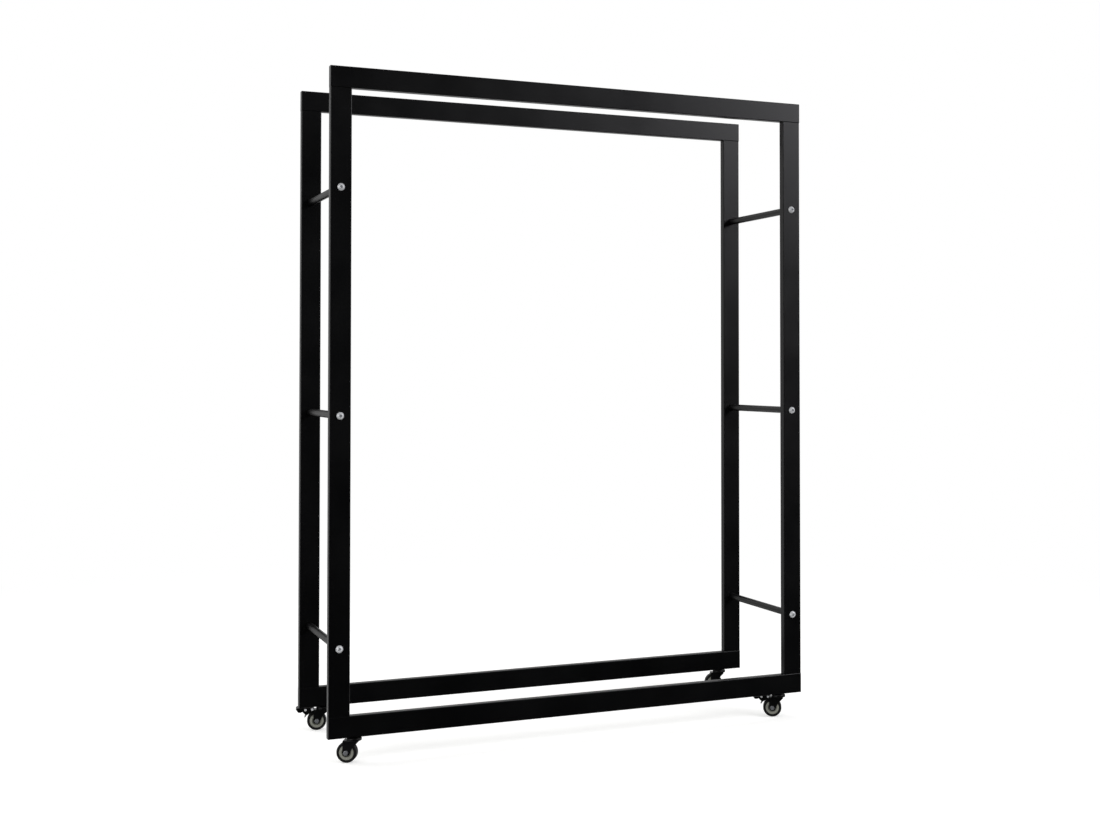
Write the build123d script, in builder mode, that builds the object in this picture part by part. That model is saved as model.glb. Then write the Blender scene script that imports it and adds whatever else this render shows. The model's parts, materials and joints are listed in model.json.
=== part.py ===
import os
from math import cos, radians, sin, sqrt

from build123d import *

os.makedirs("parts", exist_ok=True)

# Two welded frames of flat-sided tube stand front and back
# Their outside sizes, in millimetres
rack_width = 1000
rack_depth = 280
frame_height = 1240

# Tube section of all rails and uprights
tube_face = 40
tube_depth = 15
tube_wall = 1.5
tube_corner = 1.6
end_plate_thickness = 1.5

# Round crossbars at both sides, heights measured from the underside of the frames
crossbar_diameter = 14
crossbar_heights = {"lower": 164, "middle": 592, "upper": 1015}
crossbar_bore_spare = 9

# Button-head socket screws through the uprights into the crossbars
screw_diameter = 8
screw_grip_in_bar = 15
screw_head_diameter = 14
screw_head_height = 4.4
screw_crown_diameter = 8
screw_dome_radius = 9
screw_socket_width = 5
screw_socket_depth = 2.6
screw_hole_clearance = 0.3

# Casters under the bottom rails
caster_edge_distance = 50
wheel_diameter = 38
caster_trail = 13
running_clearance = 0.05
thread_clearance = 0.03

# Threaded bush in the underside of a rail, as wide as the tube lets in, and the caster stem in it
bush_length = 14
bush_side_gap = 0.25
bush_wall = 1.72
bush_hole_clearance = 0.1
stem_length = 15
stem_collar_margin = 2.5
stem_collar_thickness = 1.2
kingpin_diameter = 8
kingpin_head_diameter = 12
kingpin_head_thickness = 1.2
kingpin_wheel_gap = 0.1
race_cup_diameter = 28
race_cup_height = 4.6
swivel_gap = 0.2

# Stamped fork, with x measured from the axle and z from the axle's centre
fork_sheet = 1.5
fork_inner_width = 16.4
fork_bend_radius = 1.4
fork_tip_radius = 6.5
fork_tip_slant = 27
fork_front_reach = 9.3
fork_shoulder_drop = 2
fork_knee = (12, 9.5)
fork_web_bottom = 16.5

# Axle bolt and nut
axle_diameter = 5
axle_head_width = 8
axle_head_thickness = 3.2
axle_nut_thickness = 4
axle_end_length = 1

# Wheel: hub disc between the cheeks, tyre round it
tyre_thickness = 5.3
tyre_side_gap = 0.7
tyre_seat_gap = 0.02
hub_end_gap = 0.1

# Brake on two of the casters: pins, sheet, and the ears on the fork that carry the pedal's pivot
brake_pin_diameter = 3
brake_pin_end = 0.4
brake_pivot_angle = 111
brake_pivot_gap = 4.5
brake_ear_radius = 2.5
brake_ear_root = 6
brake_sheet = 1.2
brake_side_gap = 0.3

# Pedal outline and shoe pin, with x and z measured from the pivot
pedal_top = 3.5
pedal_plate_gap = 0.8
pedal_nose = -29.5
pedal_tip = (-32.4, 1.7)
pedal_toe = (-27.4, -5.3)
pedal_sole = (-22.6, -5.5)
pedal_notch = (-19.4, -4)
pedal_heel = (-13.6, -10)
pedal_guard = (-8.5, -9.7)
pedal_end_radius = 3.4
shoe_pin_offset = (-13.2, -0.4)

# Shoe: its bend and its toe, by angle about the axle and distance outside the tread
shoe_knee_angle = 138.6
shoe_knee_gap = 4.2
shoe_toe_angle = 162.8
shoe_toe_gap = 6
shoe_eye_wall = 1

# Swivel of each caster about its stem at rest, in degrees clockwise from above, trailing to the left
casters = {
    "front_left": {"side": -1, "row": -1, "swivel": 28, "brake": False},
    "front_right": {"side": 1, "row": -1, "swivel": 30, "brake": True},
    "back_left": {"side": -1, "row": 1, "swivel": 12, "brake": True},
    "back_right": {"side": 1, "row": 1, "swivel": 20, "brake": False},
}

# Heights that follow from the sizes above, each caster stacked from the floor up
axle_height = wheel_diameter / 2
fork_ceiling = wheel_diameter + kingpin_wheel_gap + kingpin_head_thickness + swivel_gap
fork_top = fork_ceiling + fork_sheet
fork_height = fork_top - axle_height
stem_collar_bottom = fork_top + swivel_gap + race_cup_height
frame_bottom = stem_collar_bottom + stem_collar_thickness
frame_top = frame_bottom + frame_height
upright_bottom = frame_bottom + tube_face
upright_length = frame_height - 2 * tube_face

# Places and widths that follow
rows = {"front": -1, "back": 1}
sides = {"left": -1, "right": 1}
row_offset = (rack_depth - tube_depth) / 2
upright_offset = (rack_width - tube_face) / 2
caster_offset = rack_width / 2 - caster_edge_distance
caster_places = [(caster["side"] * caster_offset, caster["row"] * row_offset) for caster in casters.values()]
crossbar_length = rack_depth - 2 * tube_depth
tube_inside_depth = tube_depth - 2 * tube_wall
bush_diameter = tube_inside_depth - 2 * bush_side_gap
bush_bore = bush_diameter - 2 * bush_wall
stem_diameter = bush_bore - 2 * thread_clearance
stem_collar_width = stem_diameter + 2 * stem_collar_margin
hub_diameter = wheel_diameter - 2 * tyre_thickness
hub_width = fork_inner_width - 2 * hub_end_gap
tyre_width = fork_inner_width - 2 * tyre_side_gap
fork_outer_width = fork_inner_width + 2 * fork_sheet
pedal_inner_width = fork_outer_width + 2 * brake_side_gap
pedal_outer_width = pedal_inner_width + 2 * brake_sheet


# Points in a caster's side view, seen from the axle
def around_axle(distance, angle):
    return (distance * cos(radians(angle)), distance * sin(radians(angle)))


brake_pivot = around_axle(axle_height + brake_pivot_gap + brake_pin_diameter / 2, brake_pivot_angle)
shoe_knee = around_axle(axle_height + shoe_knee_gap, shoe_knee_angle)
shoe_toe = around_axle(axle_height + shoe_toe_gap, shoe_toe_angle)


def from_pivot(offset):
    return (brake_pivot[0] + offset[0], brake_pivot[1] + offset[1])


shoe_pin = from_pivot(shoe_pin_offset)


def save(shape, name):
    shape.label = name
    export_step(shape, f"parts/{name}.step")


# Rails: a full-width tube over and under each pair of uprights, ends closed by plates welded in flush
def rail_plane(x, row, height):
    return Plane(origin=(x, row * row_offset, height), x_dir=(0, 1, 0), z_dir=(1, 0, 0))


def tube_section(width, height):
    with BuildSketch() as section:
        RectangleRounded(width, height, tube_corner)
        Rectangle(width - 2 * tube_wall, height - 2 * tube_wall, mode=Mode.SUBTRACT)
    return section.sketch


def make_rail(row, height, bush_holes):
    with BuildPart() as rail:
        with BuildSketch(rail_plane(-rack_width / 2, row, height)):
            add(tube_section(tube_depth, tube_face))
        extrude(amount=rack_width)
        if bush_holes:
            with BuildSketch(Plane.XY.offset(height - tube_face / 2)):
                with Locations((-caster_offset, row * row_offset), (caster_offset, row * row_offset)):
                    Circle(bush_diameter / 2 + bush_hole_clearance)
            extrude(amount=tube_wall, mode=Mode.SUBTRACT)
    return rail.part


def make_end_plates(row, height):
    with BuildPart() as plates:
        for x in (-rack_width / 2, rack_width / 2 - end_plate_thickness):
            with BuildSketch(rail_plane(x, row, height)):
                Rectangle(tube_inside_depth, tube_face - 2 * tube_wall)
            extrude(amount=end_plate_thickness)
    return plates.part


for row_name, row in rows.items():
    bottom_height = frame_bottom + tube_face / 2
    top_height = frame_top - tube_face / 2
    save(make_rail(row, bottom_height, True), f"{row_name}_bottom_rail")
    save(make_rail(row, top_height, False), f"{row_name}_top_rail")
    save(make_end_plates(row, bottom_height), f"{row_name}_bottom_rail_end_plates")
    save(make_end_plates(row, top_height), f"{row_name}_top_rail_end_plates")


# Uprights between the rails, bored through both walls for the crossbar screws
def make_upright(side, row):
    with BuildPart() as upright:
        with BuildSketch(Plane.XY.offset(upright_bottom)):
            with Locations((side * upright_offset, row * row_offset)):
                add(tube_section(tube_face, tube_depth))
        extrude(amount=upright_length)
        with BuildSketch(Plane.XZ.offset(-row * row_offset)):
            for height in crossbar_heights.values():
                with Locations((side * upright_offset, frame_bottom + height)):
                    Circle(screw_diameter / 2 + screw_hole_clearance)
        extrude(amount=tube_depth / 2, both=True, mode=Mode.SUBTRACT)
    return upright.part


for row_name, row in rows.items():
    for side_name, side in sides.items():
        save(make_upright(side, row), f"{row_name}_{side_name}_upright")


# Crossbars: round bars from frame to frame, drilled and tapped at both ends
def make_crossbar(side, height):
    with BuildPart() as bar:
        with BuildSketch(Plane.XZ):
            with Locations((side * upright_offset, frame_bottom + height)):
                Circle(crossbar_diameter / 2)
        extrude(amount=crossbar_length / 2, both=True)
        for end in bar.faces().sort_by(Axis.Y)[0], bar.faces().sort_by(Axis.Y)[-1]:
            with Locations(Plane(end)):
                Hole(screw_diameter / 2 + thread_clearance, depth=screw_grip_in_bar + crossbar_bore_spare)
    return bar.part


for side_name, side in sides.items():
    for level, height in crossbar_heights.items():
        save(make_crossbar(side, height), f"{side_name}_{level}_crossbar")


# Crossbar screws: domed head with a hexagon socket, shank through the upright into the bar
with BuildPart() as crossbar_screw:
    with BuildSketch(Plane.XZ):
        with BuildLine():
            shank = screw_diameter / 2
            shank_end = -tube_depth - screw_grip_in_bar
            rim = (screw_head_diameter / 2, 0)
            crown = (screw_crown_diameter / 2, screw_head_height)
            Polyline((0, crown[1]), (0, shank_end), (shank, shank_end), (shank, 0), rim)
            RadiusArc(rim, crown, -screw_dome_radius)
            Line(crown, (0, crown[1]))
        make_face()
    revolve(axis=Axis.Z)
    with BuildSketch(Plane.XY.offset(screw_head_height)):
        RegularPolygon(screw_socket_width / 2, 6, major_radius=False)
    extrude(amount=-screw_socket_depth, mode=Mode.SUBTRACT)

for row_name, row in rows.items():
    with BuildPart() as screws:
        face_plane = Plane(origin=(0, row * rack_depth / 2, 0), x_dir=(1, 0, 0), z_dir=(0, row, 0))
        with Locations(face_plane):
            places = [
                (side * upright_offset, -row * (frame_bottom + height))
                for side in sides.values()
                for height in crossbar_heights.values()
            ]
            with Locations(*places):
                add(crossbar_screw.part)
    save(screws.part, f"{row_name}_crossbar_screws")

# Threaded bushes pressed into the undersides of the bottom rails
with BuildPart() as threaded_bush:
    with BuildSketch(Plane.XY.offset(frame_bottom)):
        Circle(bush_diameter / 2)
        Circle(bush_bore / 2, mode=Mode.SUBTRACT)
    extrude(amount=bush_length)

# Caster pieces are drawn with the swivel axis on the Z axis, the floor at zero and the wheel trailing in -X
axle_plane = Plane(origin=(-caster_trail, 0, axle_height), x_dir=(1, 0, 0), z_dir=(0, -1, 0))

# Stem: threaded stud, hexagon collar, and below it the kingpin with its riveted head
with BuildPart() as stem:
    with BuildSketch(Plane.XY.offset(stem_collar_bottom)):
        RegularPolygon(stem_collar_width / 2, 6, major_radius=False)
    extrude(amount=stem_collar_thickness)
    with BuildSketch(Plane.XY.offset(frame_bottom)):
        Circle(stem_diameter / 2)
    extrude(amount=stem_length)
    with BuildSketch(Plane.XY.offset(stem_collar_bottom)):
        Circle(kingpin_diameter / 2)
    extrude(amount=fork_ceiling - swivel_gap - stem_collar_bottom)
    with BuildSketch(Plane.XY.offset(fork_ceiling - swivel_gap)):
        Circle(kingpin_head_diameter / 2)
    extrude(amount=-kingpin_head_thickness)

# Race cup: the pressed cover of the swivel bearing, held under the stem's collar
with BuildPart() as race_cup:
    with BuildSketch(Plane.XY.offset(stem_collar_bottom)):
        Circle(race_cup_diameter / 2)
        Circle(kingpin_diameter / 2 + running_clearance, mode=Mode.SUBTRACT)
    extrude(amount=-race_cup_height)


# The fixed pieces of all four casters share one node for each kind
def at_each_caster(piece):
    with BuildPart() as group:
        with Locations(*caster_places):
            add(piece)
    return group.part


save(at_each_caster(threaded_bush.part), "caster_threaded_bushes")
save(at_each_caster(stem.part), "caster_stems")
save(at_each_caster(race_cup.part), "caster_race_cups")


# Fork: one stamped sheet, bent down into two tapered cheeks joined by a leading web
def make_fork(with_brake):
    tip = around_axle(fork_tip_radius, -fork_tip_slant)
    shoulder = caster_trail + fork_front_reach
    shoulder_bottom = fork_height - fork_shoulder_drop
    web_slope = (shoulder - fork_knee[0]) / (shoulder_bottom - fork_knee[1])
    web_inset = fork_sheet * sqrt(1 + web_slope**2)
    web_bottom_x = fork_knee[0] + web_slope * (fork_web_bottom - fork_knee[1]) - web_inset
    with BuildPart() as fork:
        with BuildSketch(axle_plane):
            with BuildLine():
                Polyline(
                    (-fork_tip_radius, 0),
                    (-fork_tip_radius, fork_height),
                    (shoulder, fork_height),
                    (shoulder, shoulder_bottom),
                    fork_knee,
                    tip,
                )
                ThreePointArc(tip, (0, -fork_tip_radius), (-fork_tip_radius, 0))
            make_face()
        extrude(amount=fork_outer_width / 2, both=True)
        top_bends = fork.edges().filter_by(Axis.X).group_by(Axis.Z)[-1]
        fillet(top_bends, fork_bend_radius)
        if with_brake:
            ear_edge = brake_pivot[0] - brake_ear_radius
            ear_root = brake_pivot[1] - brake_ear_root
            slant = -fork_tip_radius - ear_edge
            with BuildSketch(axle_plane):
                with Locations(brake_pivot):
                    Circle(brake_ear_radius)
                with BuildLine():
                    Polyline(
                        (-fork_tip_radius, ear_root - slant),
                        (-fork_tip_radius, brake_pivot[1]),
                        (ear_edge, brake_pivot[1]),
                        (ear_edge, ear_root),
                        close=True,
                    )
                make_face()
            extrude(amount=fork_outer_width / 2, both=True)
        with BuildSketch(axle_plane):
            far = 2 * race_cup_diameter
            ceiling = fork_ceiling - axle_height
            with BuildLine():
                Polyline(
                    (-far, ceiling),
                    (shoulder - web_inset, ceiling),
                    (shoulder - web_inset, shoulder_bottom),
                    (web_bottom_x, fork_web_bottom),
                    (far, fork_web_bottom),
                    (far, -far),
                    (-far, -far),
                    close=True,
                )
            make_face()
        extrude(amount=fork_inner_width / 2, both=True, mode=Mode.SUBTRACT)
        with BuildSketch(Plane.XY.offset(fork_top)):
            Circle(kingpin_diameter / 2 + running_clearance)
        extrude(amount=-fork_sheet, mode=Mode.SUBTRACT)
        with BuildSketch(axle_plane):
            Circle(axle_diameter / 2 + thread_clearance)
            if with_brake:
                with Locations(brake_pivot):
                    Circle(brake_pin_diameter / 2 + thread_clearance)
        extrude(amount=fork_outer_width, both=True, mode=Mode.SUBTRACT)
    return fork.part


# Axle: hexagon bolt through both cheeks, with a nut on the outer one
with BuildPart() as axle_bolt:
    with BuildSketch(axle_plane.offset(-fork_outer_width / 2)):
        RegularPolygon(axle_head_width / 2, 6, major_radius=False)
    extrude(amount=-axle_head_thickness)
    with BuildSketch(axle_plane.offset(-fork_outer_width / 2)):
        Circle(axle_diameter / 2)
    extrude(amount=fork_outer_width + axle_nut_thickness + axle_end_length)

with BuildPart() as axle_nut:
    with BuildSketch(axle_plane.offset(fork_outer_width / 2)):
        RegularPolygon(axle_head_width / 2, 6, major_radius=False)
        Circle(axle_diameter / 2 + thread_clearance, mode=Mode.SUBTRACT)
    extrude(amount=axle_nut_thickness)

# Wheel: moulded hub disc that runs between the cheeks, and a flat-treaded tyre round it
with BuildPart() as wheel_hub:
    with BuildSketch(axle_plane):
        Circle(hub_diameter / 2)
        Circle(axle_diameter / 2 + running_clearance, mode=Mode.SUBTRACT)
    extrude(amount=hub_width / 2, both=True)

with BuildPart() as tyre:
    with BuildSketch(axle_plane):
        Circle(wheel_diameter / 2)
        Circle(hub_diameter / 2 + tyre_seat_gap, mode=Mode.SUBTRACT)
    extrude(amount=tyre_width / 2, both=True)


# Brake: a pedal pivoted on the fork's ears, with a shoe pinned in it that swings against the tyre
def cross_pin(place):
    with BuildPart() as pin:
        with BuildSketch(axle_plane):
            with Locations(place):
                Circle(brake_pin_diameter / 2)
        extrude(amount=pedal_outer_width / 2 + brake_pin_end, both=True)
    return pin.part


with BuildPart() as brake_pedal:
    end = from_pivot((pedal_end_radius, 0))
    under_pivot = from_pivot((0, -pedal_end_radius))
    nose = from_pivot((pedal_nose, pedal_top))
    with BuildSketch(axle_plane):
        with BuildLine():
            Polyline(
                end,
                from_pivot((pedal_end_radius, pedal_top)),
                nose,
                from_pivot(pedal_tip),
                from_pivot(pedal_toe),
                from_pivot(pedal_sole),
                from_pivot(pedal_notch),
                from_pivot(pedal_heel),
                from_pivot(pedal_guard),
                under_pivot,
            )
            RadiusArc(under_pivot, end, -pedal_end_radius)
        make_face()
    extrude(amount=pedal_outer_width / 2, both=True)
    with BuildSketch(axle_plane):
        tip_inside = from_pivot((pedal_tip[0] + brake_sheet, pedal_tip[1]))
        plate_end = brake_pivot[0] - brake_ear_radius - pedal_plate_gap
        with BuildLine():
            Polyline(
                (0, -wheel_diameter),
                (0, wheel_diameter),
                (plate_end, wheel_diameter),
                (plate_end, nose[1] - brake_sheet),
                (nose[0], nose[1] - brake_sheet),
                tip_inside,
                (tip_inside[0], -wheel_diameter),
                close=True,
            )
        make_face()
    extrude(amount=pedal_inner_width / 2, both=True, mode=Mode.SUBTRACT)
    with BuildSketch(axle_plane):
        with Locations(brake_pivot):
            Circle(brake_pin_diameter / 2 + running_clearance)
        with Locations(shoe_pin):
            Circle(brake_pin_diameter / 2 + thread_clearance)
    extrude(amount=pedal_outer_width, both=True, mode=Mode.SUBTRACT)

with BuildPart() as brake_shoe:
    with BuildSketch(axle_plane):
        with BuildLine():
            Polyline(shoe_pin, shoe_knee, shoe_toe)
        trace(line_width=brake_sheet)
        with Locations(shoe_pin):
            Circle(brake_pin_diameter / 2 + shoe_eye_wall)
            Circle(brake_pin_diameter / 2 + thread_clearance, mode=Mode.SUBTRACT)
    extrude(amount=tyre_width / 2, both=True)

plain_fork = make_fork(False)
braked_fork = make_fork(True)
brake_pivot_pin = cross_pin(brake_pivot)
brake_shoe_pin = cross_pin(shoe_pin)

for caster_name, caster in casters.items():
    place = Location(
        (caster["side"] * caster_offset, caster["row"] * row_offset, 0),
        (0, 0, -caster["swivel"]),
    )
    pieces = {
        "caster_fork": braked_fork if caster["brake"] else plain_fork,
        "caster_axle_bolt": axle_bolt.part,
        "caster_axle_nut": axle_nut.part,
        "caster_wheel_hub": wheel_hub.part,
        "caster_tyre": tyre.part,
    }
    if caster["brake"]:
        pieces["brake_pedal"] = brake_pedal.part
        pieces["brake_pivot_pin"] = brake_pivot_pin
        pieces["brake_shoe"] = brake_shoe.part
        pieces["brake_shoe_pin"] = brake_shoe_pin
    for piece_name, piece in pieces.items():
        save(piece.moved(place), f"{caster_name}_{piece_name}")
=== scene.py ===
import json
import math

import bmesh
import bpy
from mathutils import Matrix, Vector


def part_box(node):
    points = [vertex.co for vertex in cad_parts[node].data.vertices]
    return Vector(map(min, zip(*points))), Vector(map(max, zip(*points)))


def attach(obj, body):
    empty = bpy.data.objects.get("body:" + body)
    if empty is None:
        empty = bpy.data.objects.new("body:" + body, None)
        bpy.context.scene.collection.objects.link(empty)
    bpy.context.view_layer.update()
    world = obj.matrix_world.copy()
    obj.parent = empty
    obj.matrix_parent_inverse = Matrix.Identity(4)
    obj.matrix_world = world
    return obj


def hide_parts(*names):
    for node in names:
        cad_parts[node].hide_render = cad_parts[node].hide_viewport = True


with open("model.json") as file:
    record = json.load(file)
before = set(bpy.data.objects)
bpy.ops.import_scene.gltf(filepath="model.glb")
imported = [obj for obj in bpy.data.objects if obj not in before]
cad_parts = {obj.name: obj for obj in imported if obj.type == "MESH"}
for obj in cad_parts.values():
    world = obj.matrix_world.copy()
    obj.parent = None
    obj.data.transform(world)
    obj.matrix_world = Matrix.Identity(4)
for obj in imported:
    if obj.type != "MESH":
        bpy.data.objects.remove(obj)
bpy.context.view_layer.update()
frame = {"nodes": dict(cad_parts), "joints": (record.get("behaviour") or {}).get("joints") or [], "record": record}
nodes = frame["nodes"]
joints = {joint["name"]: joint for joint in frame["joints"]}
bodyOf = {node: body for body, group in frame["record"]["behaviour"]["bodies"].items() for node in group}
slotOf = {part["node"]: part["material_slot"] for part in frame["record"]["subparts"]}
mm = 0.001
print("frame loaded,", len(nodes), "nodes")


# Colours are written as sRGB hex and turned linear here
def linear(hexColour):
    channels = [int(hexColour[i:i + 2], 16) / 255 for i in (1, 3, 5)]
    return [c / 12.92 if c <= 0.04045 else ((c + 0.055) / 1.055) ** 2.4 for c in channels] + [1]


# A pattern's scale counts per metre, its width is in millimetres
def scaleOf(width):
    return 1000 / width


# Adds a node, fills its sockets and links other nodes' outputs to them
def addNode(tree, kind, settings={}, links={}, **fields):
    node = tree.nodes.new(kind)
    for name, value in fields.items():
        setattr(node, name, value)
    for name, value in settings.items():
        node.inputs[name].default_value = value
    for name, output in links.items():
        tree.links.new(output, node.inputs[name])
    return node


def newMaterial(name):
    material = bpy.data.materials.new(name)
    material.use_nodes = True
    material.node_tree.nodes.clear()
    return material, material.node_tree


mixShare, mixFirst, mixSecond, mixed = 0, 6, 7, 2  # the Mix node's sockets for colours share their names
noiseRange = {"From Min": 0.3, "From Max": 0.7}  # most of a noise texture's values lie between these

# Camera: stands to the front left of the rack at about table height and looks almost level
camera = {
    "place": (-1.0742, -2.7412, 0.7215),
    "turn": -0.4015,
    "rise": 0.0213,
    "lens": 46.63,
    "sensorWidth": 36,
    "farEnd": 60,
    "shiftX": -0.0411,
    "shiftY": -0.0648,
}


def makeCamera():
    data = bpy.data.cameras.new("photoCamera")
    data.lens = camera["lens"]
    data.sensor_width = camera["sensorWidth"]
    data.shift_x = camera["shiftX"]
    data.shift_y = camera["shiftY"]
    data.clip_end = camera["farEnd"]
    eye = bpy.data.objects.new("photoCamera", data)
    eye.location = camera["place"]
    eye.rotation_euler = (math.pi / 2 + camera["rise"], 0, camera["turn"])
    bpy.context.scene.collection.objects.link(eye)
    bpy.context.scene.camera = eye


makeCamera()
bpy.context.scene.view_settings.view_transform = "Standard"
print("camera placed")

# Studio: pale surroundings that fall off to a dim room in front of the rack, and three broad round lamps
studio = {
    "paleRoom": 0.5,  # how bright the white surroundings light the rack
    "paleMirror": 0.58,  # and how bright they stand in its gloss
    "dimRoom": 0.003,  # the unlit side of the room, where the camera stands
    "dimFrom": -0.66,  # how far towards the front a direction points where the room is dim
    "dimTo": 0.2,  # and where it is pale
    "leftDim": 0.45,  # how much of the paleness is left far out to the left, where a grey curtain stands
    "leftFrom": -0.58,  # how far to the left a direction points where the curtain is full
    "leftTo": -0.26,  # and where it ends
    "aim": (0.2, 0, 0.75),  # the point that all lamps face
}
lamps = {
    "key": {"place": (3.1, -2.6, 2.6), "size": 2.1, "power": 70, "colour": "#fbfaff"},
    "side": {"place": (-3.0, -1.3, 1.3), "size": 2.6, "power": 26, "colour": "#ffffff"},
    "back": {"place": (-2.6, 1.4, 3.2), "size": 2.4, "power": 40, "colour": "#ffffff"},
}


def makeWorld():
    world = bpy.data.worlds.new("studioRoom")
    world.use_nodes = True
    tree = world.node_tree
    tree.nodes.clear()
    white = {"Color": (1, 1, 1, 1)}
    ray = addNode(tree, "ShaderNodeLightPath").outputs
    direction = addNode(tree, "ShaderNodeTexCoord")
    split = addNode(tree, "ShaderNodeSeparateXYZ", {}, {"Vector": direction.outputs["Generated"]})
    depth = addNode(
        tree, "ShaderNodeMapRange",
        {"From Min": studio["dimFrom"], "From Max": studio["dimTo"],
         "To Min": studio["dimRoom"], "To Max": studio["paleMirror"]},
        {"Value": split.outputs["Y"]}, interpolation_type="SMOOTHSTEP")
    curtain = addNode(
        tree, "ShaderNodeMapRange",
        {"From Min": studio["leftFrom"], "From Max": studio["leftTo"],
         "To Min": studio["leftDim"], "To Max": 1},
        {"Value": split.outputs["X"]}, interpolation_type="SMOOTHSTEP")
    glow = addNode(
        tree, "ShaderNodeMath", {}, {0: depth.outputs["Result"], 1: curtain.outputs["Result"]},
        operation="MULTIPLY")
    seen = addNode(
        tree, "ShaderNodeMath", {}, {0: ray["Is Camera Ray"], 1: ray["Is Transmission Ray"]},
        operation="MAXIMUM")
    lit = addNode(tree, "ShaderNodeBackground", {**white, "Strength": studio["paleRoom"]})
    mirrored = addNode(tree, "ShaderNodeBackground", white, {"Strength": glow.outputs[0]})
    backdrop = addNode(tree, "ShaderNodeBackground", white)
    room = addNode(
        tree, "ShaderNodeMixShader", {}, {0: ray["Is Glossy Ray"], 1: lit.outputs[0], 2: mirrored.outputs[0]})
    mix = addNode(
        tree, "ShaderNodeMixShader", {}, {0: seen.outputs[0], 1: room.outputs[0], 2: backdrop.outputs[0]})
    addNode(tree, "ShaderNodeOutputWorld", {}, {"Surface": mix.outputs[0]})
    bpy.context.scene.world = world


def makeLamp(name, facts):
    data = bpy.data.lights.new(name + "Lamp", "AREA")
    data.shape = "DISK"
    data.size = facts["size"]
    data.energy = facts["power"]
    data.color = linear(facts["colour"])[:3]
    lamp = bpy.data.objects.new(name + "Lamp", data)
    lamp.location = facts["place"]
    away = lamp.location - Vector(studio["aim"])
    lamp.rotation_euler = away.to_track_quat("Z", "Y").to_euler()
    bpy.context.scene.collection.objects.link(lamp)


# Floor: a white sheet that keeps the rack's shadow and melts into the white surroundings
floor = {
    "radius": 4.5,
    "sides": 96,
    "fadeFrom": 1.0,  # metres from the rack's middle where it starts to melt away
    "fadeTo": 2.6,
    "colour": "#f2f2f0",
    "glow": 0.42,  # brings the paper up to the surroundings' white for the camera alone
    "drop": 0.0004,  # keeps it just clear of the tyres
}


def makeFloor():
    mesh = bpy.data.meshes.new("floorSheet")
    form = bmesh.new()
    bmesh.ops.create_circle(form, cap_ends=True, segments=floor["sides"], radius=floor["radius"])
    form.to_mesh(mesh)
    form.free()
    sheet = bpy.data.objects.new("floorSheet", mesh)
    sheet.location.z = -floor["drop"]
    bpy.context.scene.collection.objects.link(sheet)
    material, tree = newMaterial("matteWhitePaper")
    ray = addNode(tree, "ShaderNodeLightPath").outputs
    place = addNode(tree, "ShaderNodeTexCoord")
    distance = addNode(tree, "ShaderNodeVectorMath", {}, {0: place.outputs["Object"]}, operation="LENGTH")
    fade = addNode(
        tree, "ShaderNodeMapRange", {"From Min": floor["fadeFrom"], "From Max": floor["fadeTo"]},
        {"Value": distance.outputs["Value"]}, interpolation_type="SMOOTHSTEP")
    paper = addNode(tree, "ShaderNodeBsdfDiffuse", {"Color": linear(floor["colour"])})
    seen = addNode(
        tree, "ShaderNodeMath", {1: floor["glow"]}, {0: ray["Is Camera Ray"]}, operation="MULTIPLY")
    glow = addNode(tree, "ShaderNodeEmission", {}, {"Strength": seen.outputs[0]})
    lit = addNode(tree, "ShaderNodeAddShader", {}, {0: paper.outputs[0], 1: glow.outputs[0]})
    white = addNode(tree, "ShaderNodeEmission", {}, {"Strength": ray["Is Camera Ray"]})
    mix = addNode(
        tree, "ShaderNodeMixShader", {}, {0: fade.outputs[0], 1: lit.outputs[0], 2: white.outputs[0]})
    addNode(tree, "ShaderNodeOutputMaterial", {}, {"Surface": mix.outputs[0]})
    mesh.materials.append(material)
    sheet.visible_glossy = False


makeWorld()
for lampName, lampFacts in lamps.items():
    makeLamp(lampName, lampFacts)
makeFloor()
print("studio lit")

# Powder coat: polyester powder baked on steel, a satin black whose melt left a fine orange peel
powderCoat = {
    "colour": "#020203",
    "paler": "#060607",
    "ior": 1.5,
    "roughness": (0.31, 0.38),
    "peelWidth": 2.5,  # mm from crest to crest, real peel is about 1 mm and too fine to show
    "peelHeight": 0.012,
    "peelDetail": 1,
    "peelStrength": 0.5,
    "cloudWidth": 90,  # mm between slightly thicker and thinner stretches of coat
    "cloudDetail": 3,
}


def makePowderCoat():
    material, tree = newMaterial("satinBlackPowderCoat")
    place = addNode(tree, "ShaderNodeTexCoord")
    cloud = addNode(
        tree, "ShaderNodeTexNoise",
        {"Scale": scaleOf(powderCoat["cloudWidth"]), "Detail": powderCoat["cloudDetail"]},
        {"Vector": place.outputs["Object"]})
    peel = addNode(
        tree, "ShaderNodeTexNoise",
        {"Scale": scaleOf(powderCoat["peelWidth"]), "Detail": powderCoat["peelDetail"]},
        {"Vector": place.outputs["Object"]})
    low, high = powderCoat["roughness"]
    rough = addNode(
        tree, "ShaderNodeMapRange", {**noiseRange, "To Min": low, "To Max": high},
        {"Value": cloud.outputs["Fac"]})
    colour = addNode(
        tree, "ShaderNodeMix",
        {mixFirst: linear(powderCoat["colour"]), mixSecond: linear(powderCoat["paler"])},
        {mixShare: cloud.outputs["Fac"]}, data_type="RGBA")
    bump = addNode(
        tree, "ShaderNodeBump",
        {"Strength": powderCoat["peelStrength"], "Distance": powderCoat["peelHeight"] * mm},
        {"Height": peel.outputs["Fac"]})
    coat = addNode(
        tree, "ShaderNodeBsdfPrincipled", {"IOR": powderCoat["ior"]},
        {"Base Color": colour.outputs[mixed], "Roughness": rough.outputs[0], "Normal": bump.outputs[0]})
    addNode(tree, "ShaderNodeOutputMaterial", {}, {"Surface": coat.outputs[0]})
    return material


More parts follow.
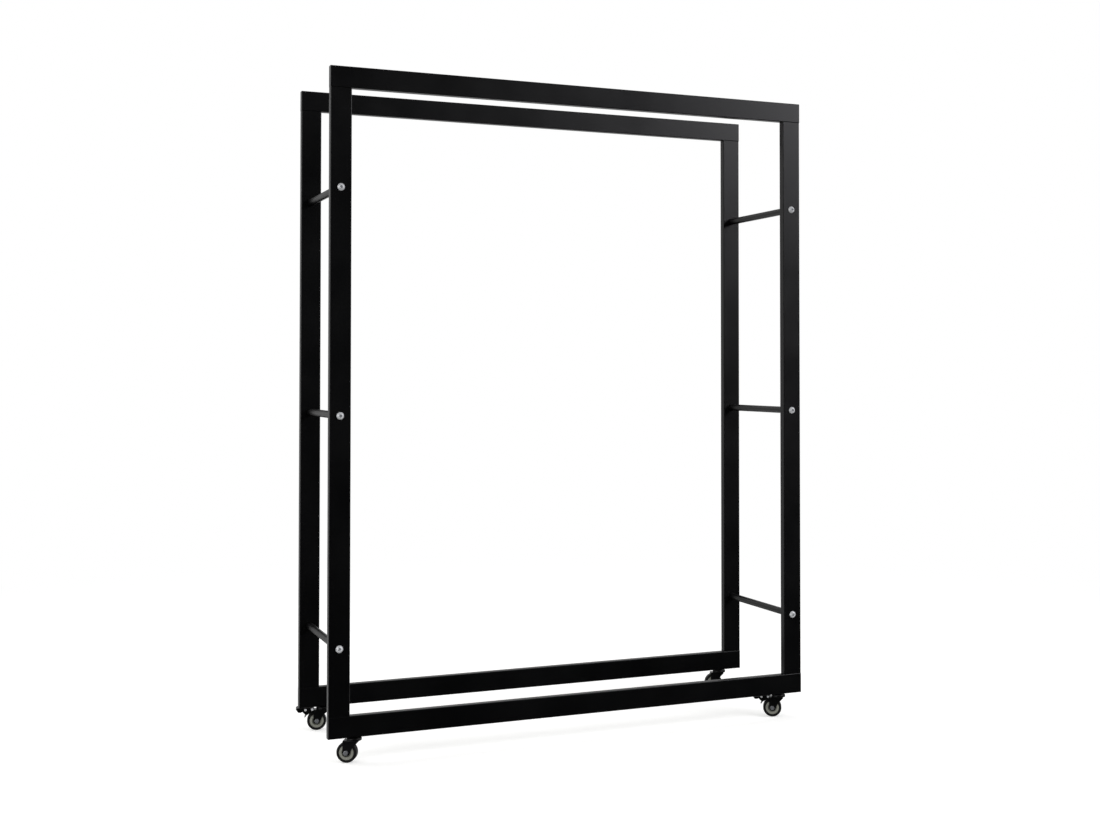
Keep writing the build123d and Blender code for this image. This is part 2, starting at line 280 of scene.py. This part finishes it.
# Painted sheet: stamped steel dipped in black enamel, glossier than powder, with a painted highlight that colours
# its edges lighter
sheetEnamel = {
    "colour": "#050506",
    "ior": 1.5,
    "roughness": (0.3, 0.4),
    "waveWidth": 6,  # mm between the soft waves that pressing left in the sheet
    "waveHeight": 0.05,
    "waveDetail": 1,
    "waveStrength": 0.6,
    "edgeWidth": 0.35,
    "edgeSamples": 6,
    "edgeColour": "#1d1d1e",
    "edgeStart": 0.98,  # cosine of the turn at an edge where the painted highlight starts
    "edgeFull": 0.8,  # and where it is full
}


def makeSheetEnamel():
    material, tree = newMaterial("dippedBlackEnamel")
    place = addNode(tree, "ShaderNodeTexCoord")
    wave = addNode(
        tree, "ShaderNodeTexNoise",
        {"Scale": scaleOf(sheetEnamel["waveWidth"]), "Detail": sheetEnamel["waveDetail"]},
        {"Vector": place.outputs["Object"]})
    low, high = sheetEnamel["roughness"]
    rough = addNode(
        tree, "ShaderNodeMapRange", {**noiseRange, "To Min": low, "To Max": high},
        {"Value": wave.outputs["Fac"]})
    softened = addNode(
        tree, "ShaderNodeBevel", {"Radius": sheetEnamel["edgeWidth"] * mm},
        samples=sheetEnamel["edgeSamples"])
    surface = addNode(tree, "ShaderNodeNewGeometry")
    flat = addNode(
        tree, "ShaderNodeVectorMath", {}, {0: softened.outputs[0], 1: surface.outputs["Normal"]},
        operation="DOT_PRODUCT")
    # Painted highlight: the colour turns lighter along the edges, where the bevelled normal turns away from the
    # face's
    edgeHighlight = addNode(
        tree, "ShaderNodeMapRange",
        {"From Min": sheetEnamel["edgeStart"], "From Max": sheetEnamel["edgeFull"], "To Min": 0, "To Max": 1},
        {"Value": flat.outputs["Value"]})
    colour = addNode(
        tree, "ShaderNodeMix",
        {mixFirst: linear(sheetEnamel["colour"]), mixSecond: linear(sheetEnamel["edgeColour"])},
        {mixShare: edgeHighlight.outputs[0]}, data_type="RGBA")
    bump = addNode(
        tree, "ShaderNodeBump",
        {"Strength": sheetEnamel["waveStrength"], "Distance": sheetEnamel["waveHeight"] * mm},
        {"Height": wave.outputs["Fac"], "Normal": softened.outputs[0]})
    coat = addNode(
        tree, "ShaderNodeBsdfPrincipled", {"IOR": sheetEnamel["ior"]},
        {"Base Color": colour.outputs[mixed], "Roughness": rough.outputs[0], "Normal": bump.outputs[0]})
    addNode(tree, "ShaderNodeOutputMaterial", {}, {"Surface": coat.outputs[0]})
    return material


# Tyre: moulded black thermoplastic rubber, dull, with the mould's fine grain, and coloured lighter over its lowest
# few millimetres by the floor
tyreRubber = {
    "colour": "#060606",
    "dust": "#181716",
    "dustHeight": 3,  # mm up from the floor
    "dustShare": 0.5,
    "ior": 1.52,
    "roughness": 0.62,
    "grainWidth": 0.9,  # mm, as coarse as it needs to show, the mould's own grain is finer
    "grainHeight": 0.03,
    "grainDetail": 2,
    "grainStrength": 0.5,
}


def makeTyreRubber():
    material, tree = newMaterial("mouldedTyreRubber")
    place = addNode(tree, "ShaderNodeTexCoord")
    grain = addNode(
        tree, "ShaderNodeTexNoise",
        {"Scale": scaleOf(tyreRubber["grainWidth"]), "Detail": tyreRubber["grainDetail"]},
        {"Vector": place.outputs["Object"]})
    split = addNode(tree, "ShaderNodeSeparateXYZ", {}, {"Vector": place.outputs["Object"]})
    # Lighter towards the bottom: the colour pales over the lowest millimetres, where the tyre meets the floor
    low = addNode(
        tree, "ShaderNodeMapRange",
        {"From Min": tyreRubber["dustHeight"] * mm, "From Max": 0,
         "To Min": 0, "To Max": tyreRubber["dustShare"]},
        {"Value": split.outputs["Z"]})
    colour = addNode(
        tree, "ShaderNodeMix",
        {mixFirst: linear(tyreRubber["colour"]), mixSecond: linear(tyreRubber["dust"])},
        {mixShare: low.outputs[0]}, data_type="RGBA")
    bump = addNode(
        tree, "ShaderNodeBump",
        {"Strength": tyreRubber["grainStrength"], "Distance": tyreRubber["grainHeight"] * mm},
        {"Height": grain.outputs["Fac"]})
    rubber = addNode(
        tree, "ShaderNodeBsdfPrincipled", {"IOR": tyreRubber["ior"], "Roughness": tyreRubber["roughness"]},
        {"Base Color": colour.outputs[mixed], "Normal": bump.outputs[0]})
    addNode(tree, "ShaderNodeOutputMaterial", {}, {"Surface": rubber.outputs[0]})
    return material


# Hub: injection moulded polypropylene, a warm light grey with a soft sheen and faint flow clouds
hubPlastic = {
    "colour": "#87887d",
    "paler": "#93948b",
    "ior": 1.49,
    "roughness": 0.38,
    "flowWidth": 5,  # mm between flow clouds
    "flowHeight": 0.02,
    "flowDetail": 2,
    "flowTwist": 0.6,
    "flowStrength": 0.3,
}


def makeHubPlastic():
    material, tree = newMaterial("mouldedHubPlastic")
    place = addNode(tree, "ShaderNodeTexCoord")
    flow = addNode(
        tree, "ShaderNodeTexNoise",
        {"Scale": scaleOf(hubPlastic["flowWidth"]), "Detail": hubPlastic["flowDetail"],
         "Distortion": hubPlastic["flowTwist"]},
        {"Vector": place.outputs["Object"]})
    colour = addNode(
        tree, "ShaderNodeMix",
        {mixFirst: linear(hubPlastic["colour"]), mixSecond: linear(hubPlastic["paler"])},
        {mixShare: flow.outputs["Fac"]}, data_type="RGBA")
    bump = addNode(
        tree, "ShaderNodeBump",
        {"Strength": hubPlastic["flowStrength"], "Distance": hubPlastic["flowHeight"] * mm},
        {"Height": flow.outputs["Fac"]})
    plastic = addNode(
        tree, "ShaderNodeBsdfPrincipled", {"IOR": hubPlastic["ior"], "Roughness": hubPlastic["roughness"]},
        {"Base Color": colour.outputs[mixed], "Normal": bump.outputs[0]})
    addNode(tree, "ShaderNodeOutputMaterial", {}, {"Surface": plastic.outputs[0]})
    return material


# Zinc: steel forged cold and plated, so it mirrors softly with a faint blue cast
zincPlate = {
    "colour": "#f3f4f5",
    "bluer": "#e2e5e9",
    "metallic": 0.5,  # the rest is the milky film that passivation leaves
    "roughness": (0.4, 0.52),
    "cloudWidth": 2.2,  # mm between patches of thicker and thinner passivation
    "cloudHeight": 0.02,
    "cloudDetail": 3,
    "cloudStrength": 0.25,
    "grime": "#5c5d60",  # painted shade: a darker grey in sockets and corners
    "grimeReach": 2.5,
    "grimeSamples": 8,
    "grimeFull": 0.25,  # how open a place is where the painted shade is full
    "grimeGone": 0.8,  # and where it ends
}

# The axles' zinc is thinner and unpolished, so it stays a darker grey
axleZinc = {**zincPlate, "colour": "#b2b4b7", "bluer": "#a1a4a9", "metallic": 0.8}


def makeZincPlate(name, zinc):
    material, tree = newMaterial(name)
    place = addNode(tree, "ShaderNodeTexCoord")
    cloud = addNode(
        tree, "ShaderNodeTexNoise", {"Scale": scaleOf(zinc["cloudWidth"]), "Detail": zinc["cloudDetail"]},
        {"Vector": place.outputs["Object"]})
    low, high = zinc["roughness"]
    rough = addNode(
        tree, "ShaderNodeMapRange", {**noiseRange, "To Min": low, "To Max": high},
        {"Value": cloud.outputs["Fac"]})
    colour = addNode(
        tree, "ShaderNodeMix", {mixFirst: linear(zinc["colour"]), mixSecond: linear(zinc["bluer"])},
        {mixShare: cloud.outputs["Fac"]}, data_type="RGBA")
    # Painted shade: the colour darkens to grey in sockets and corners, where little is open around
    openness = addNode(
        tree, "ShaderNodeAmbientOcclusion", {"Distance": zinc["grimeReach"] * mm},
        samples=zinc["grimeSamples"])
    unshaded = addNode(
        tree, "ShaderNodeMapRange", {"From Min": zinc["grimeFull"], "From Max": zinc["grimeGone"]},
        {"Value": openness.outputs["AO"]})
    shadedColour = addNode(
        tree, "ShaderNodeMix", {mixFirst: linear(zinc["grime"])},
        {mixShare: unshaded.outputs[0], mixSecond: colour.outputs[mixed]}, data_type="RGBA")
    bump = addNode(
        tree, "ShaderNodeBump", {"Strength": zinc["cloudStrength"], "Distance": zinc["cloudHeight"] * mm},
        {"Height": cloud.outputs["Fac"]})
    metal = addNode(
        tree, "ShaderNodeBsdfPrincipled", {"Metallic": zinc["metallic"]},
        {"Base Color": shadedColour.outputs[mixed], "Roughness": rough.outputs[0], "Normal": bump.outputs[0]})
    addNode(tree, "ShaderNodeOutputMaterial", {}, {"Surface": metal.outputs[0]})
    return material


# Blacked steel: turned on a lathe, dipped in black oxide and oiled, so it is dark with a dull metal gleam
blackedSteel = {
    "colour": "#1c1c1e",
    "darker": "#111112",
    "roughness": (0.4, 0.52),
    "stainWidth": 3,  # mm between oil stains
    "stainDetail": 4,
}


def makeBlackedSteel():
    material, tree = newMaterial("oiledBlackSteel")
    place = addNode(tree, "ShaderNodeTexCoord")
    stain = addNode(
        tree, "ShaderNodeTexNoise",
        {"Scale": scaleOf(blackedSteel["stainWidth"]), "Detail": blackedSteel["stainDetail"]},
        {"Vector": place.outputs["Object"]})
    low, high = blackedSteel["roughness"]
    rough = addNode(
        tree, "ShaderNodeMapRange", {**noiseRange, "To Min": low, "To Max": high},
        {"Value": stain.outputs["Fac"]})
    colour = addNode(
        tree, "ShaderNodeMix",
        {mixFirst: linear(blackedSteel["colour"]), mixSecond: linear(blackedSteel["darker"])},
        {mixShare: stain.outputs["Fac"]}, data_type="RGBA")
    metal = addNode(
        tree, "ShaderNodeBsdfPrincipled", {"Metallic": 1},
        {"Base Color": colour.outputs[mixed], "Roughness": rough.outputs[0]})
    addNode(tree, "ShaderNodeOutputMaterial", {}, {"Surface": metal.outputs[0]})
    return material


finishes = {
    "black_powder_coat": makePowderCoat(),
    "black_painted_sheet": makeSheetEnamel(),
    "black_tyre": makeTyreRubber(),
    "grey_hub_plastic": makeHubPlastic(),
    "bright_zinc": makeZincPlate("brightZincPlate", zincPlate),
    "blackened_steel": makeBlackedSteel(),
}
axleFinish = makeZincPlate("dullZincPlate", axleZinc)
for name, node in nodes.items():
    node.data.materials.clear()
    node.data.materials.append(finishes[slotOf[name]])
print("finishes made")

# Spun pieces: rings of points about an axis, each a (radius, height) or a function that gives one at an angle
spun = {
    "sides": 72,
    "filletSteps": 4,
    "crispFrom": 32,  # degrees between two faces from which their edge is drawn crisp
    "mergeWithin": 1e-6,  # metres between points that become one
    "cornerTurn": 30,  # degrees at which a hexagon's corners are turned off
}


def hexRing(width, height):
    sixth = math.pi / 3
    return lambda angle: (width / 2 / math.cos(angle % sixth - sixth / 2), height)


# The ring where a hexagon's corners are turned off, below a round face at the given height
def turnedHexRing(width, faceRadius, height, side):
    def at(angle):
        radius = hexRing(width, 0)(angle)[0]
        return radius, height - side * (radius - faceRadius) * math.tan(math.radians(spun["cornerTurn"]))
    return at


# Rounds the corners of an outline, whose points are (radius, height, fillet), ends left as they are
def rounded(points):
    outline = []
    steps = spun["filletSteps"]
    for i, (radius, height, fillet) in enumerate(points):
        if not fillet or i in (0, len(points) - 1):
            outline.append((radius, height))
            continue
        corner = Vector((radius, height))
        before = (Vector(points[i - 1][:2]) - corner).normalized()
        after = (Vector(points[i + 1][:2]) - corner).normalized()
        half = before.angle(after) / 2
        reach = fillet / math.tan(half)
        centre = corner + (before + after).normalized() * fillet / math.sin(half)
        start = corner + before * reach - centre
        end = corner + after * reach - centre
        sweep = math.pi - 2 * half
        turn = 1 if start.x * end.y > start.y * end.x else -1
        for step in range(steps + 1):
            angle = turn * sweep * step / steps
            spot = Matrix.Rotation(angle, 2) @ start
            outline.append(tuple(centre + spot))
    return outline


# The same outline seen in a mirror at height 0, from its far end back
def mirroredBack(outline):
    return [(radius, -height) for radius, height in reversed(outline)]


# Adds a spun piece's rings, in millimetres, to a form, at its place
def spin(form, rings, place, closed=False, sides=spun["sides"]):
    loops = []
    for ring in rings:
        loop = []
        for step in range(sides):
            angle = 2 * math.pi * step / sides
            radius, height = ring(angle) if callable(ring) else ring
            spot = Vector((radius * math.cos(angle), radius * math.sin(angle), height)) * mm
            loop.append(form.verts.new(place @ spot))
        loops.append(loop)
    if closed:
        loops.append(loops[0])
    for low, high in zip(loops, loops[1:]):
        for step in range(sides):
            after = (step + 1) % sides
            form.faces.new((low[step], low[after], high[after], high[step]))


# Closes a form into a smooth piece with crisp corners that stands for a CAD node
def makePiece(form, name, node, finish=None):
    bmesh.ops.remove_doubles(form, verts=form.verts, dist=spun["mergeWithin"])
    bmesh.ops.recalc_face_normals(form, faces=form.faces)
    mesh = bpy.data.meshes.new(name)
    form.to_mesh(mesh)
    form.free()
    for face in mesh.polygons:
        face.use_smooth = True
    mesh.set_sharp_from_angle(angle=math.radians(spun["crispFrom"]))
    mesh.materials.append(finish or finishes[slotOf[node]])
    piece = bpy.data.objects.new(name, mesh)
    bpy.context.scene.collection.objects.link(piece)
    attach(piece, bodyOf[node])
    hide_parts(node)


# Spins half a section, from the bore's middle to the rim's, and its mirror image into one ring
def makeRing(half, name, node, place):
    upper = rounded(half)
    form = bmesh.new()
    spin(form, upper + mirroredBack(upper[1:-1]), place, closed=True)
    makePiece(form, name, node)


# Button head screw: cold forged dome with a broached hexagon socket
screw = {
    "headWidth": 14,
    "headHeight": 4.4,
    "rimHeight": 0.3,
    "crownWidth": 6.6,
    "domeRadius": 9,
    "domeSteps": 8,
    "socketWidth": 5,
    "socketDepth": 2.6,
    "socketLead": 0.35,  # chamfer at the socket's mouth
    "drillPoint": 1.25,  # depth of the cone under the socket's floor
    "shankWidth": 8,
    "shankLength": 30,
    "endChamfer": 0.8,
}


def screwRings():
    rim, crown = screw["headWidth"] / 2, screw["crownWidth"] / 2
    shank, length = screw["shankWidth"] / 2, screw["shankLength"]
    low, high = Vector((rim, screw["rimHeight"])), Vector((crown, screw["headHeight"]))
    chord = high - low
    reach = math.sqrt(screw["domeRadius"] ** 2 - chord.length_squared / 4)
    centre = (low + high) / 2 + Vector((-chord.y, chord.x)).normalized() * reach
    dome = []
    for step in range(screw["domeSteps"] + 1):
        spot = centre + (low + chord * step / screw["domeSteps"] - centre).normalized() * screw["domeRadius"]
        dome.append(tuple(spot))
    mouth, socketFloor = screw["socketWidth"], screw["headHeight"] - screw["socketDepth"]
    return [
        (0, -length), (shank - screw["endChamfer"], -length), (shank, screw["endChamfer"] - length),
        (shank, 0), (rim, 0), *dome,
        hexRing(mouth + 2 * screw["socketLead"], screw["headHeight"]),
        hexRing(mouth, screw["headHeight"] - screw["socketLead"]),
        hexRing(mouth, socketFloor), (0, socketFloor - screw["drillPoint"]),
    ]


def makeScrews(row):
    near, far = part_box(row + "_left_upright")
    face, outward = (near.y, -1) if row == "front" else (far.y, 1)
    lean = Matrix.Rotation(math.radians(outward * -90), 4, "X")
    form = bmesh.new()
    for bar in sorted(name for name in nodes if name.endswith("_crossbar")):
        low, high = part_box(bar)
        middle = (low + high) / 2
        spin(form, screwRings(), Matrix.Translation((middle.x, face, middle.z)) @ lean)
    makePiece(form, row + "ButtonScrews", row + "_crossbar_screws")


for row in ("front", "back"):
    makeScrews(row)
print("screws made")


# Casters: each wheel's frame has its origin at the axle's middle, z along the axle and y up
def wheelPlace(caster):
    roll = joints[caster + "_wheel_roll"]
    z = Vector(roll["axis"]).normalized()
    y = Vector((0, 0, 1))
    x = y.cross(z)
    turn = Matrix((x, y, z)).transposed().to_4x4()
    return Matrix.Translation(roll["pos_m"]) @ turn


# A CAD node's least and greatest radius and height in that frame, in millimetres
def spanOf(node, place):
    spots = [place.inverted() @ vertex.co / mm for vertex in nodes[node].data.vertices]
    radii = [math.hypot(spot.x, spot.y) for spot in spots]
    heights = [spot.z for spot in spots]
    return min(radii), max(radii), min(heights), max(heights)


# Tyre: moulded in one ring, with round shoulders, a flat tread and a raised ring on each side wall
tyre = {
    "shoulder": 2.4,
    "shoulderDrop": 1.1,  # how far the side wall lies in beside the ring
    "treadEdge": 0.6,  # from the shoulder to a loop that keeps the tread's shading flat
    "ringAt": 2.6,  # from the tread in to the ring's outer edge
    "ringWidth": 0.9,
    "ringSlope": 0.3,  # how far the ring's inner side spreads at its foot
    "ringFillets": (0.3, 0.35),  # inner and outer
    "grooveDepth": 0.35,
    "grooveFillet": 0.2,
    "beadWidth": 0.8,  # from the hub to a loop that keeps the groove's shading flat
    "beadFillet": 0.3,
}


def makeTyre(caster, place):
    node = caster + "_caster_tyre"
    inner, outer, _, high = spanOf(node, place)
    wall = high - tyre["grooveDepth"]
    ringOut = outer - tyre["ringAt"]
    ringIn = ringOut - tyre["ringWidth"]
    innerFillet, outerFillet = tyre["ringFillets"]
    makeRing([
        (inner, 0, 0), (inner, wall, tyre["beadFillet"]), (inner + tyre["beadWidth"], wall, 0),
        (ringIn - tyre["ringSlope"], wall, tyre["grooveFillet"]), (ringIn, high, innerFillet),
        (ringOut, high, outerFillet), (outer, high - tyre["shoulderDrop"], tyre["shoulder"] / 2),
        (outer, high - tyre["shoulder"] - tyre["treadEdge"], 0), (outer, 0, 0),
    ], caster + "Tyre", node, place)


# Hub: a moulded disc with a boss round the axle, a deep recess round the boss and a broad dished flange
hub = {
    "boreFillet": 0.2,
    "bossWidth": 10,
    "recessWidth": 17.6,
    "recessDepth": 4.8,
    "recessDraft": 0.3,  # how much its walls lean in towards the floor
    "mouthFillet": 0.4,  # at the recess's upper edges
    "footFillet": 0.5,
    "flangeDrop": 0.3,
    "dish": 0.4,  # how much lower the flange ends than it begins
    "grooveAt": 1.1,  # from the tyre in to the groove that ends the flange
    "grooveDepth": 0.4,
    "grooveHalf": 0.3,
    "grooveFillet": 0.2,
    "rimFillet": 0.3,
}


def makeHub(caster, place):
    node = caster + "_caster_wheel_hub"
    bore, outer, _, high = spanOf(node, place)
    boss, recess, draft = hub["bossWidth"] / 2, hub["recessWidth"] / 2, hub["recessDraft"]
    groove, halfGroove, grooveFillet = outer - hub["grooveAt"], hub["grooveHalf"], hub["grooveFillet"]
    well = high - hub["recessDepth"]
    flange = high - hub["flangeDrop"]
    rim = flange - hub["dish"]
    makeRing([
        (bore, 0, 0), (bore, high, hub["boreFillet"]), (boss, high, hub["mouthFillet"]),
        (boss + draft, well, hub["footFillet"]), (recess - draft, well, hub["footFillet"]),
        (recess, flange, hub["mouthFillet"]), (groove - halfGroove, rim, grooveFillet),
        (groove, rim - hub["grooveDepth"], grooveFillet), (groove + halfGroove, rim, grooveFillet),
        (outer, rim, hub["rimFillet"]), (outer, 0, 0),
    ], caster + "Hub", node, place)


# Axle bolt and nut: hexagons with turned corners, the bolt's end and the nut's mouth chamfered
axle = {
    "faceShare": 0.47,  # radius of the round faces as a share of the width across the flats
    "threadGap": 0.03,
    "headEdge": 0.2,  # how much lower the head's corners end than its face
    "endChamfer": 0.5,
    "mouthChamfer": 0.4,
}


def makeAxle(caster, place):
    boltNode, nutNode = caster + "_caster_axle_bolt", caster + "_caster_axle_nut"
    nutBore, nutCorner, nutLow, nutHigh = spanOf(nutNode, place)
    boltLow, boltHigh = spanOf(boltNode, place)[2:]
    width = nutCorner * math.sqrt(3)
    face = width * axle["faceShare"]
    shaft = nutBore - axle["threadGap"]
    headTop = -nutLow
    end, mouth = axle["endChamfer"], axle["mouthChamfer"]
    form = bmesh.new()
    spin(form, [
        (0, boltLow), (face, boltLow), turnedHexRing(width, face, boltLow, -1),
        hexRing(width, headTop - axle["headEdge"]), (face, headTop), (shaft, headTop),
        (shaft, boltHigh - end), (shaft - end, boltHigh), (0, boltHigh),
    ], place)
    makePiece(form, caster + "AxleBolt", boltNode, axleFinish)
    form = bmesh.new()
    spin(form, [
        (nutBore, nutLow), (face, nutLow), turnedHexRing(width, face, nutLow, -1),
        turnedHexRing(width, face, nutHigh, 1), (face, nutHigh),
        (nutBore + mouth, nutHigh), (nutBore, nutHigh - mouth),
    ], place, closed=True)
    makePiece(form, caster + "AxleNut", nutNode, axleFinish)


# Brake pins: rivets with a low domed head on each side of the pedal
rivet = {"headWidth": 5, "headHeight": 0.9, "headGap": 0.05, "domeSteps": 5, "sides": 48}


def makeRivet(caster, name, node, place):
    low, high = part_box(node)
    spot = Matrix.Translation((low + high) / 2) @ place.to_3x3().to_4x4()
    shank = spanOf(node, spot)[1]
    seat = spanOf(caster + "_brake_pedal", place)[3] + rivet["headGap"]
    head = rivet["headWidth"] / 2
    upper = []
    for step in range(rivet["domeSteps"] + 1):
        angle = math.pi / 2 * step / rivet["domeSteps"]
        upper.append((head * math.sin(angle), seat + rivet["headHeight"] * math.cos(angle)))
    upper.append((shank, seat))
    form = bmesh.new()
    spin(form, upper + mirroredBack(upper), spot, sides=rivet["sides"])
    makePiece(form, caster + name, node)


# Race cups: pressed covers with a rolled shoulder and a bore for the stem, one over each fork
cup = {"shoulder": 1.1, "lip": 0.5}


def makeCups(node):
    low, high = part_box(node)
    height = (high.z - low.z) / mm
    form = bmesh.new()
    for caster in casters:
        pin = Vector(joints[caster + "_caster_swivel"]["pos_m"])
        place = Matrix.Translation((pin.x, pin.y, low.z))
        radius = min(high.x - pin.x, pin.x - low.x) / mm
        bore = min(math.hypot(v.co.x - pin.x, v.co.y - pin.y) for v in nodes[node].data.vertices) / mm
        outline = [
            (bore, 0, 0), (radius, 0, cup["lip"]), (radius, height, cup["shoulder"]), (bore, height, 0),
        ]
        spin(form, rounded(outline), place, closed=True)
    makePiece(form, "raceCups", node)


casters = sorted(name[:-len("_caster_tyre")] for name in nodes if name.endswith("_caster_tyre"))
for caster in casters:
    place = wheelPlace(caster)
    makeTyre(caster, place)
    makeHub(caster, place)
    makeAxle(caster, place)
    if caster + "_brake_pedal" in nodes:
        makeRivet(caster, "PivotRivet", caster + "_brake_pivot_pin", place)
        makeRivet(caster, "ShoeRivet", caster + "_brake_shoe_pin", place)
makeCups("caster_race_cups")
print("casters made")
